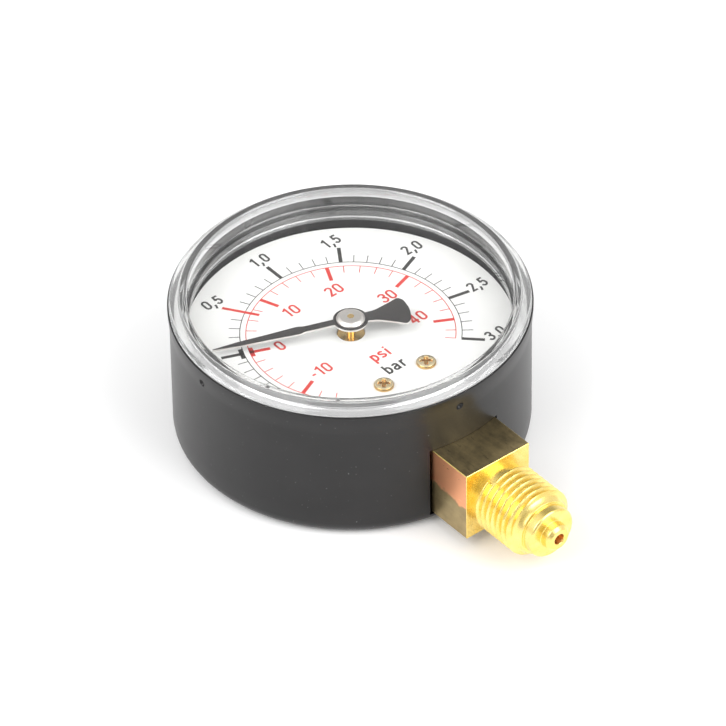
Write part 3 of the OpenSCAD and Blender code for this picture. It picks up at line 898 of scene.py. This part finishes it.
def make_thread():
    thread_start = SQUARE_Y + NECK - 0.6
    thread_end = SQUARE_Y + NECK + RIDGES * PITCH + 0.22
    bm = bmesh.new()
    rows = []
    steps = int((thread_end - SQUARE_Y) / (PITCH / 14))
    for i in range(steps + 1):
        along = SQUARE_Y - 0.5 if i == 0 else SQUARE_Y + (thread_end - SQUARE_Y) * (i - 1) / (steps - 1)
        row = []
        for k in range(SPIRAL):
            turn = 360 * k / SPIRAL
            radius = ROOT_R if along <= SQUARE_Y else thread_radius(along, turn, thread_start)
            chamfer = PILOT_R + 0.5 + (thread_end + 0.25 - along) * 1.6
            radius = min(radius, max(chamfer, ROOT_R - 0.1))
            row.append(bm.verts.new(stem_point(radius, turn, along)))
        rows.append(row)
    end_profile = rounded([
        (ROOT_R - 0.12, thread_end),
        (PILOT_R + 0.45, thread_end + 1.1),
        (PILOT_R, thread_end + 1.1),
        (PILOT_R, thread_end + 2.8),
        (PILOT_R - 0.3, thread_end + 3.1),
        (SPIGOT_R + 0.05, thread_end + 3.1),
        (SPIGOT_R, STEM_TIP - 0.6),
        (SPIGOT_R - 0.6, STEM_TIP),
        (BORE_R + 0.15, STEM_TIP),
        (BORE_R, STEM_TIP - 0.15),
    ], 0.12, 3)
    for radius, along in end_profile[1:]:
        rows.append([bm.verts.new(stem_point(radius, 360 * k / SPIRAL, along)) for k in range(SPIRAL)])
    bore_rows = len(rows)
    rows.append([bm.verts.new(stem_point(BORE_R, 360 * k / SPIRAL, 24.0)) for k in range(SPIRAL)])
    rows.append([bm.verts.new((0, -24.0, STEM_Z))])
    for i, (low, high) in enumerate(zip(rows, rows[1:])):
        for face in join_rows(bm, low, high):
            # The inside of the bore takes the darker brass, painted shade.
            face.material_index = 1 if i >= bore_rows - 1 else 0
    bm.faces.new(rows[0])
    thread = finish_piece("stem_thread", bm, [STEM_TURNED, BORE], HOUSING, 50)
    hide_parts("stem")


def make_square():
    """The square bar with its thin bright edges, and the block inside the case."""
    bm = bmesh.new()
    half = STEM_HALF
    bevel = 0.09
    outline = [(-half, -half), (half, -half), (half, half), (-half, half)]
    corners = []
    for i, (x, z) in enumerate(outline):
        before = outline[i - 1]
        after = outline[(i + 1) % 4]
        for other in (before, after):
            step = Vector((other[0] - x, other[1] - z)).normalized() * bevel
            corners.append((x + step.x, z + step.y))
    rows = []
    stations = [(-BLOCK_Y, 1.0), (SQUARE_Y - bevel, 1.0), (SQUARE_Y, 1 - bevel / half)]
    for along, shrink in stations:
        rows.append([bm.verts.new((x * shrink, -along, STEM_Z + z * shrink)) for x, z in corners])
    for i, (low, high) in enumerate(zip(rows, rows[1:])):
        for k, face in enumerate(join_rows(bm, low, high)):
            flat = k % 2 == 1
            left = k == 7
            # Flat faces take the bar's brass and the left one takes its darker copy, painted shade;
            # bevels and the front ring take the turned brass.
            face.material_index = 0 if i == 1 or not flat else (2 if left else 1)
    bm.faces.new(rows[0]).material_index = 1
    bm.faces.new(rows[-1]).material_index = 0
    tongue_top = STEM_LOW + 2.5
    tongue = [(-half, BLOCK_Y - 0.3), (half, BLOCK_Y - 0.3), (half, -3.2), (-half, -3.2)]
    extrude_outline(bm, tongue, STEM_LOW, tongue_top)
    seat = node_span("dial", Z)[0]
    for side in (-1, 1):
        foot = STEM_Z + half - 0.5
        post = [(0, foot), (2.0, foot), (2.0, seat - 0.2), (1.8, seat), (0, seat)]
        lathe_into(bm, post, screw_centre(side), 48)
    finish_piece("stem_square", bm, [STEM_TURNED, STEM_BAR, STEM_LEFT_SHADE], HOUSING, 30)


# ---------------------------------------------------------------- pointer

REST = 155.2
BLADE_Z = DIAL_Z + 2.6
BLADE_T = 0.35
SLOPE = math.radians(4)
LANCE_START = 2.4
POINTER_LEN = 24.8


def make_pointer():
    """Blade with a fan-shaped tail; black faces and bare sheared edges."""
    disc_r = 3.1
    tail_r = 10.6
    bend = 4.0
    half = [polar(disc_r, 14), (8.4, 0.74), (9.3, 1.06), (14.4, 0.78), (20.4, 0.54), (24.5, 0.13)]
    lance = rounded(half, 0.5, 4) + [(POINTER_LEN, 0.05)]
    disc = arc((0, 0), (disc_r, disc_r), 15, 158, 30)
    tail = [disc[-1], (-4.6, 1.35), (-7.6, 2.75), (-9.3, 3.65), (-10.2, 2.75), polar(-tail_r, -bend)]
    end = [polar(-tail_r, -bend * (1 - i / 5)) for i in range(5)]
    outline = list(reversed(lance)) + disc + rounded(tail, 1.2, 6)[1:-1] + end
    turn = math.radians(REST)

    def place(x, y, z):
        if x > LANCE_START:
            z -= (x - LANCE_START) * math.tan(SLOPE)
        return x * math.cos(turn) - y * math.sin(turn), x * math.sin(turn) + y * math.cos(turn), z

    bm = bmesh.new()
    low, high = BLADE_Z, BLADE_Z + BLADE_T
    rows = []
    for x, y in outline:
        corners = ((y, low), (y, high), (-y, high), (-y, low))
        rows.append([bm.verts.new(place(x, across, z)) for across, z in corners])
    for one, two in zip(rows, rows[1:]):
        for k, face in enumerate(join_rows(bm, one, two)):
            face.material_index = 1 - k % 2
    for row in (rows[0], rows[-1]):
        bm.faces.new(row).material_index = 1
    materials = [POINTER_BLACK, POINTER_EDGE]
    blade = finish_piece("pointer_lance", bm, materials, POINTER, 30)
    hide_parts("pointer_blade")
    cap_low = BLADE_Z + BLADE_T
    profile = rounded([
        (0.6, HUB_TOP - 0.02),
        (0.62, HUB_TOP),
        (1.9, HUB_TOP),
        (2.24, HUB_TOP - 0.24),
        (HUB_R - 0.08, cap_low + 0.25),
        (HUB_R - 0.08, cap_low),
        (1.3, cap_low),
        (1.3, HUB_LOW),
        (0.72, HUB_LOW),
        (0.72, 20.2),
    ], 0.2, 5)
    bm = bmesh.new()
    lathe_into(bm, profile, segments=128)
    hub = finish_piece("pointer_cap", bm, [BRIGHT], POINTER, 40)
    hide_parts("pointer_hub")


# ------------------------------------------------------------ Bourdon tube

TUBE_R = 23.5


def make_tube():
    """The flattened tube, which bends between its root and its free end."""
    bm = bmesh.new()
    start = -10.0
    end = 360 - 90 - math.degrees(math.asin((STEM_HALF - 2.8) / TUBE_R))
    half_h = 1.3
    half_w = 4.1
    section = arc((0, half_w - half_h), (half_h, half_h), 0, 180, 8)
    section += arc((0, half_h - half_w), (half_h, half_h), 180, 360, 8)
    rows = []
    steps = 120
    for i in range(steps + 1):
        angle = start + (end - start) * i / steps
        row = []
        for across, up in section:
            x, y = polar(TUBE_R + across, angle)
            row.append(bm.verts.new((x, y, STEM_Z + up)))
        rows.append(row)
    for low, high in zip(rows, rows[1:]):
        join_rows(bm, low, high)
    bm.faces.new(rows[0])
    bm.faces.new(rows[-1])
    tube = finish_piece("bourdon_c_tube", bm, [BRONZE], None, 35)
    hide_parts("bourdon_tube")
    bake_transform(tube)


make_case()
make_window()
make_print()
make_dial_screws()
make_thread()
make_square()
make_pointer()
make_tube()


# ----------------------------------------------------------------- camera

CAMERA_AZIMUTH = -38.5
CAMERA_ELEVATION = 39.97
CAMERA_ROLL = -0.95
CAMERA_DISTANCE = 1220
CAMERA_TARGET = (-0.6, -4.0, 15.5)
CAMERA_LENS = 347.1


def direction(azimuth, elevation):
    """Unit vector towards a place; azimuth 0 lies along -Y and 90 along +X."""
    across, along = polar(math.cos(math.radians(elevation)), azimuth)
    return Vector((along, -across, math.sin(math.radians(elevation))))


def make_camera():
    back = direction(CAMERA_AZIMUTH, CAMERA_ELEVATION)
    data = bpy.data.cameras.new("camera")
    data.lens = CAMERA_LENS
    data.sensor_width = 36
    data.clip_start = 0.01
    data.clip_end = 20
    camera = bpy.data.objects.new("camera", data)
    bpy.context.scene.collection.objects.link(camera)
    target = Vector(CAMERA_TARGET) * MM
    turn = back.to_track_quat("Z", "Y").to_matrix().to_4x4()
    roll = Matrix.Rotation(math.radians(CAMERA_ROLL), 4, "Z")
    camera.matrix_world = Matrix.Translation(target + back * CAMERA_DISTANCE * MM) @ turn @ roll
    bpy.context.scene.camera = camera


# ------------------------------------------------------- floor and lights

def make_floor():
    bm = bmesh.new()
    bmesh.ops.create_circle(bm, cap_ends=True, radius=4000 * MM, segments=96)
    mesh = bpy.data.meshes.new("floor")
    bm.to_mesh(mesh)
    bm.free()
    floor = bpy.data.objects.new("floor", mesh)
    bpy.context.scene.collection.objects.link(floor)
    material, nodes, links, shader = principled("floor_white")
    space = texture_space(nodes, links)
    cloud = noise(nodes, links, space, 0.005, 2.0)
    whites = [(0.3, (0.93, 0.93, 0.93)), (0.7, (0.95, 0.95, 0.95))]
    links.new(ramp(nodes, links, cloud, whites), shader.inputs["Base Color"])
    shader.inputs["Roughness"].default_value = 0.6
    shader.inputs["Specular IOR Level"].default_value = 0.1
    shader.inputs["Emission Color"].default_value = (1, 1, 1, 1)
    shader.inputs["Emission Strength"].default_value = 0.07
    mesh.materials.append(material)


def soft_box(name, azimuth, elevation, power):
    """A square area light that faces the gauge, 1 m away."""
    data = bpy.data.lights.new(name, "AREA")
    data.shape = "SQUARE"
    data.size = 700 * MM
    data.energy = power
    lamp = bpy.data.objects.new(name, data)
    bpy.context.scene.collection.objects.link(lamp)
    aim = Vector((0, 0, 15)) * MM
    spot = aim + direction(azimuth, elevation) * 1000 * MM
    turn = (spot - aim).to_track_quat("Z", "Y").to_matrix().to_4x4()
    lamp.matrix_world = Matrix.Translation(spot) @ turn


def make_lights():
    world = bpy.data.worlds.new("studio")
    world.use_nodes = True
    background = world.node_tree.nodes["Background"]
    background.inputs["Color"].default_value = (1, 1, 1, 1)
    nodes = world.node_tree.nodes
    links = world.node_tree.links
    coords = nodes.new("ShaderNodeTexCoord")
    product = nodes.new("ShaderNodeMath")
    product.operation = "MULTIPLY"
    # Darker patches of sky: azimuth, elevation, strength outside and inside, cosines of their edges
    patches = [
        (CAMERA_AZIMUTH + 180, 42, 0.95, 0.45, 0.82, 0.94),
        (CAMERA_AZIMUTH, 10, 1.0, 0.6, 0.5, 0.85),
    ]
    for slot, (azimuth, elevation, bright, dark, start, end) in enumerate(patches):
        along = nodes.new("ShaderNodeVectorMath")
        along.operation = "DOT_PRODUCT"
        along.inputs[1].default_value = direction(azimuth, elevation)
        links.new(coords.outputs["Generated"], along.inputs[0])
        strength = spread(nodes, links, along.outputs["Value"], bright, dark, start, end)
        links.new(strength, product.inputs[slot])
    links.new(product.outputs[0], background.inputs["Strength"])
    bpy.context.scene.world = world
    soft_box("left_box", -93, 42, 5.0)
    soft_box("right_box", 17, 42, 5.3)


make_camera()
make_floor()
make_lights()
bpy.context.scene.view_settings.view_transform = "Standard"
